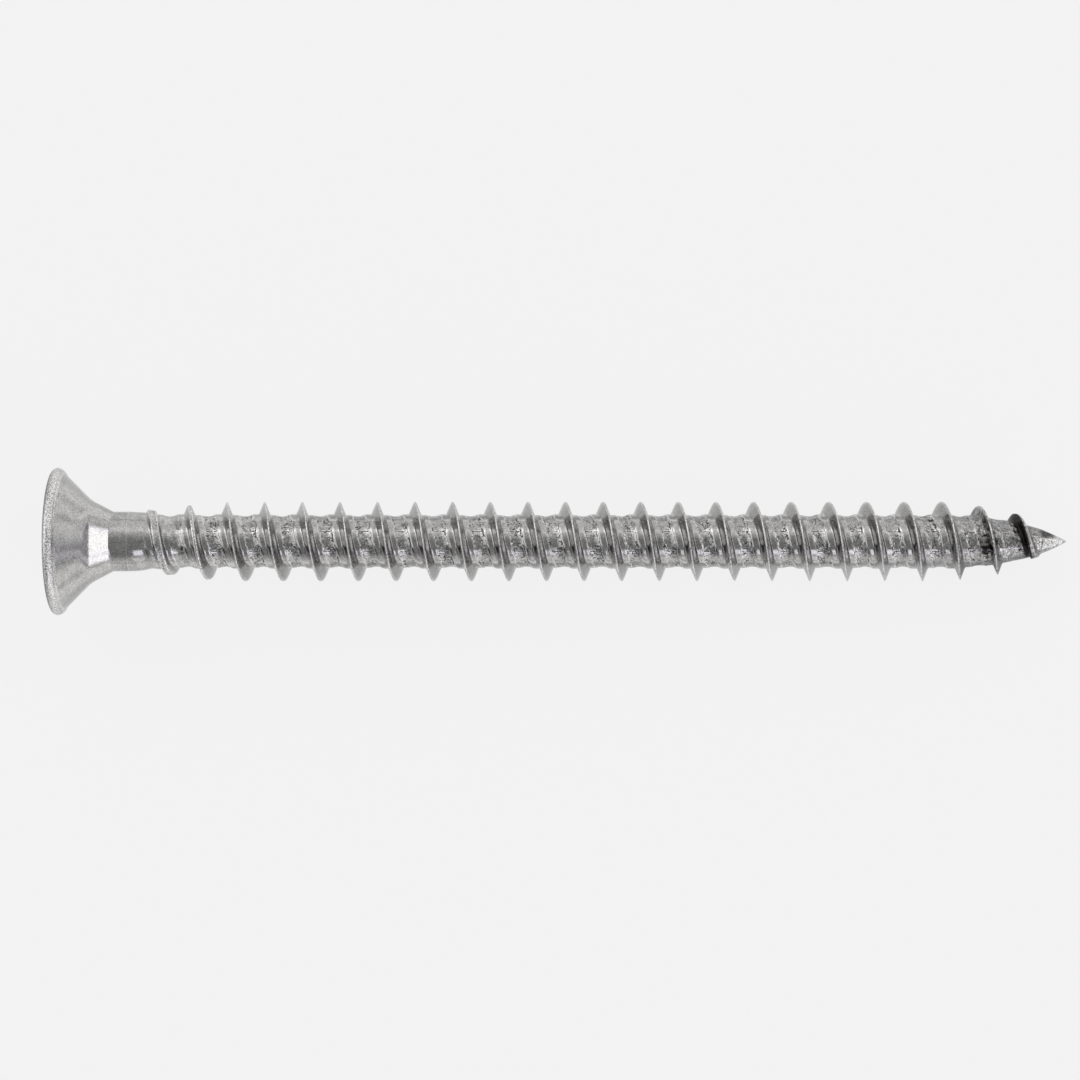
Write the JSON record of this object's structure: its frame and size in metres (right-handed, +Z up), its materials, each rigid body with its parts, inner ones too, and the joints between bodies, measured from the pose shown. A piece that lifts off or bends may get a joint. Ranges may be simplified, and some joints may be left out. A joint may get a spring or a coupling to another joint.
{
  "type": "chipboard screw",
  "caption": "Countersunk screw for chipboard, with a cross recess, tapered neck, short plain shank and coarse sharp thread to a gimlet point.",
  "frame": {"origin": "on the surface that the screw lies on, under the middle of its length", "axes": "+X along the screw from its head to its point, +Z up from the surface; the screw lies on the rim of its head and on its thread near the point, so its axis goes down by 2.2 degrees towards the point"},
  "size_m": [0.0602, 0.0088, 0.0087],
  "materials": {
    "steel": "bright rolled and tumbled steel with a thin plating, darker in the seams between the turns"
  },
  "bodies": {
    "root": {"screw": "steel"}
  },
  "joints": []
}
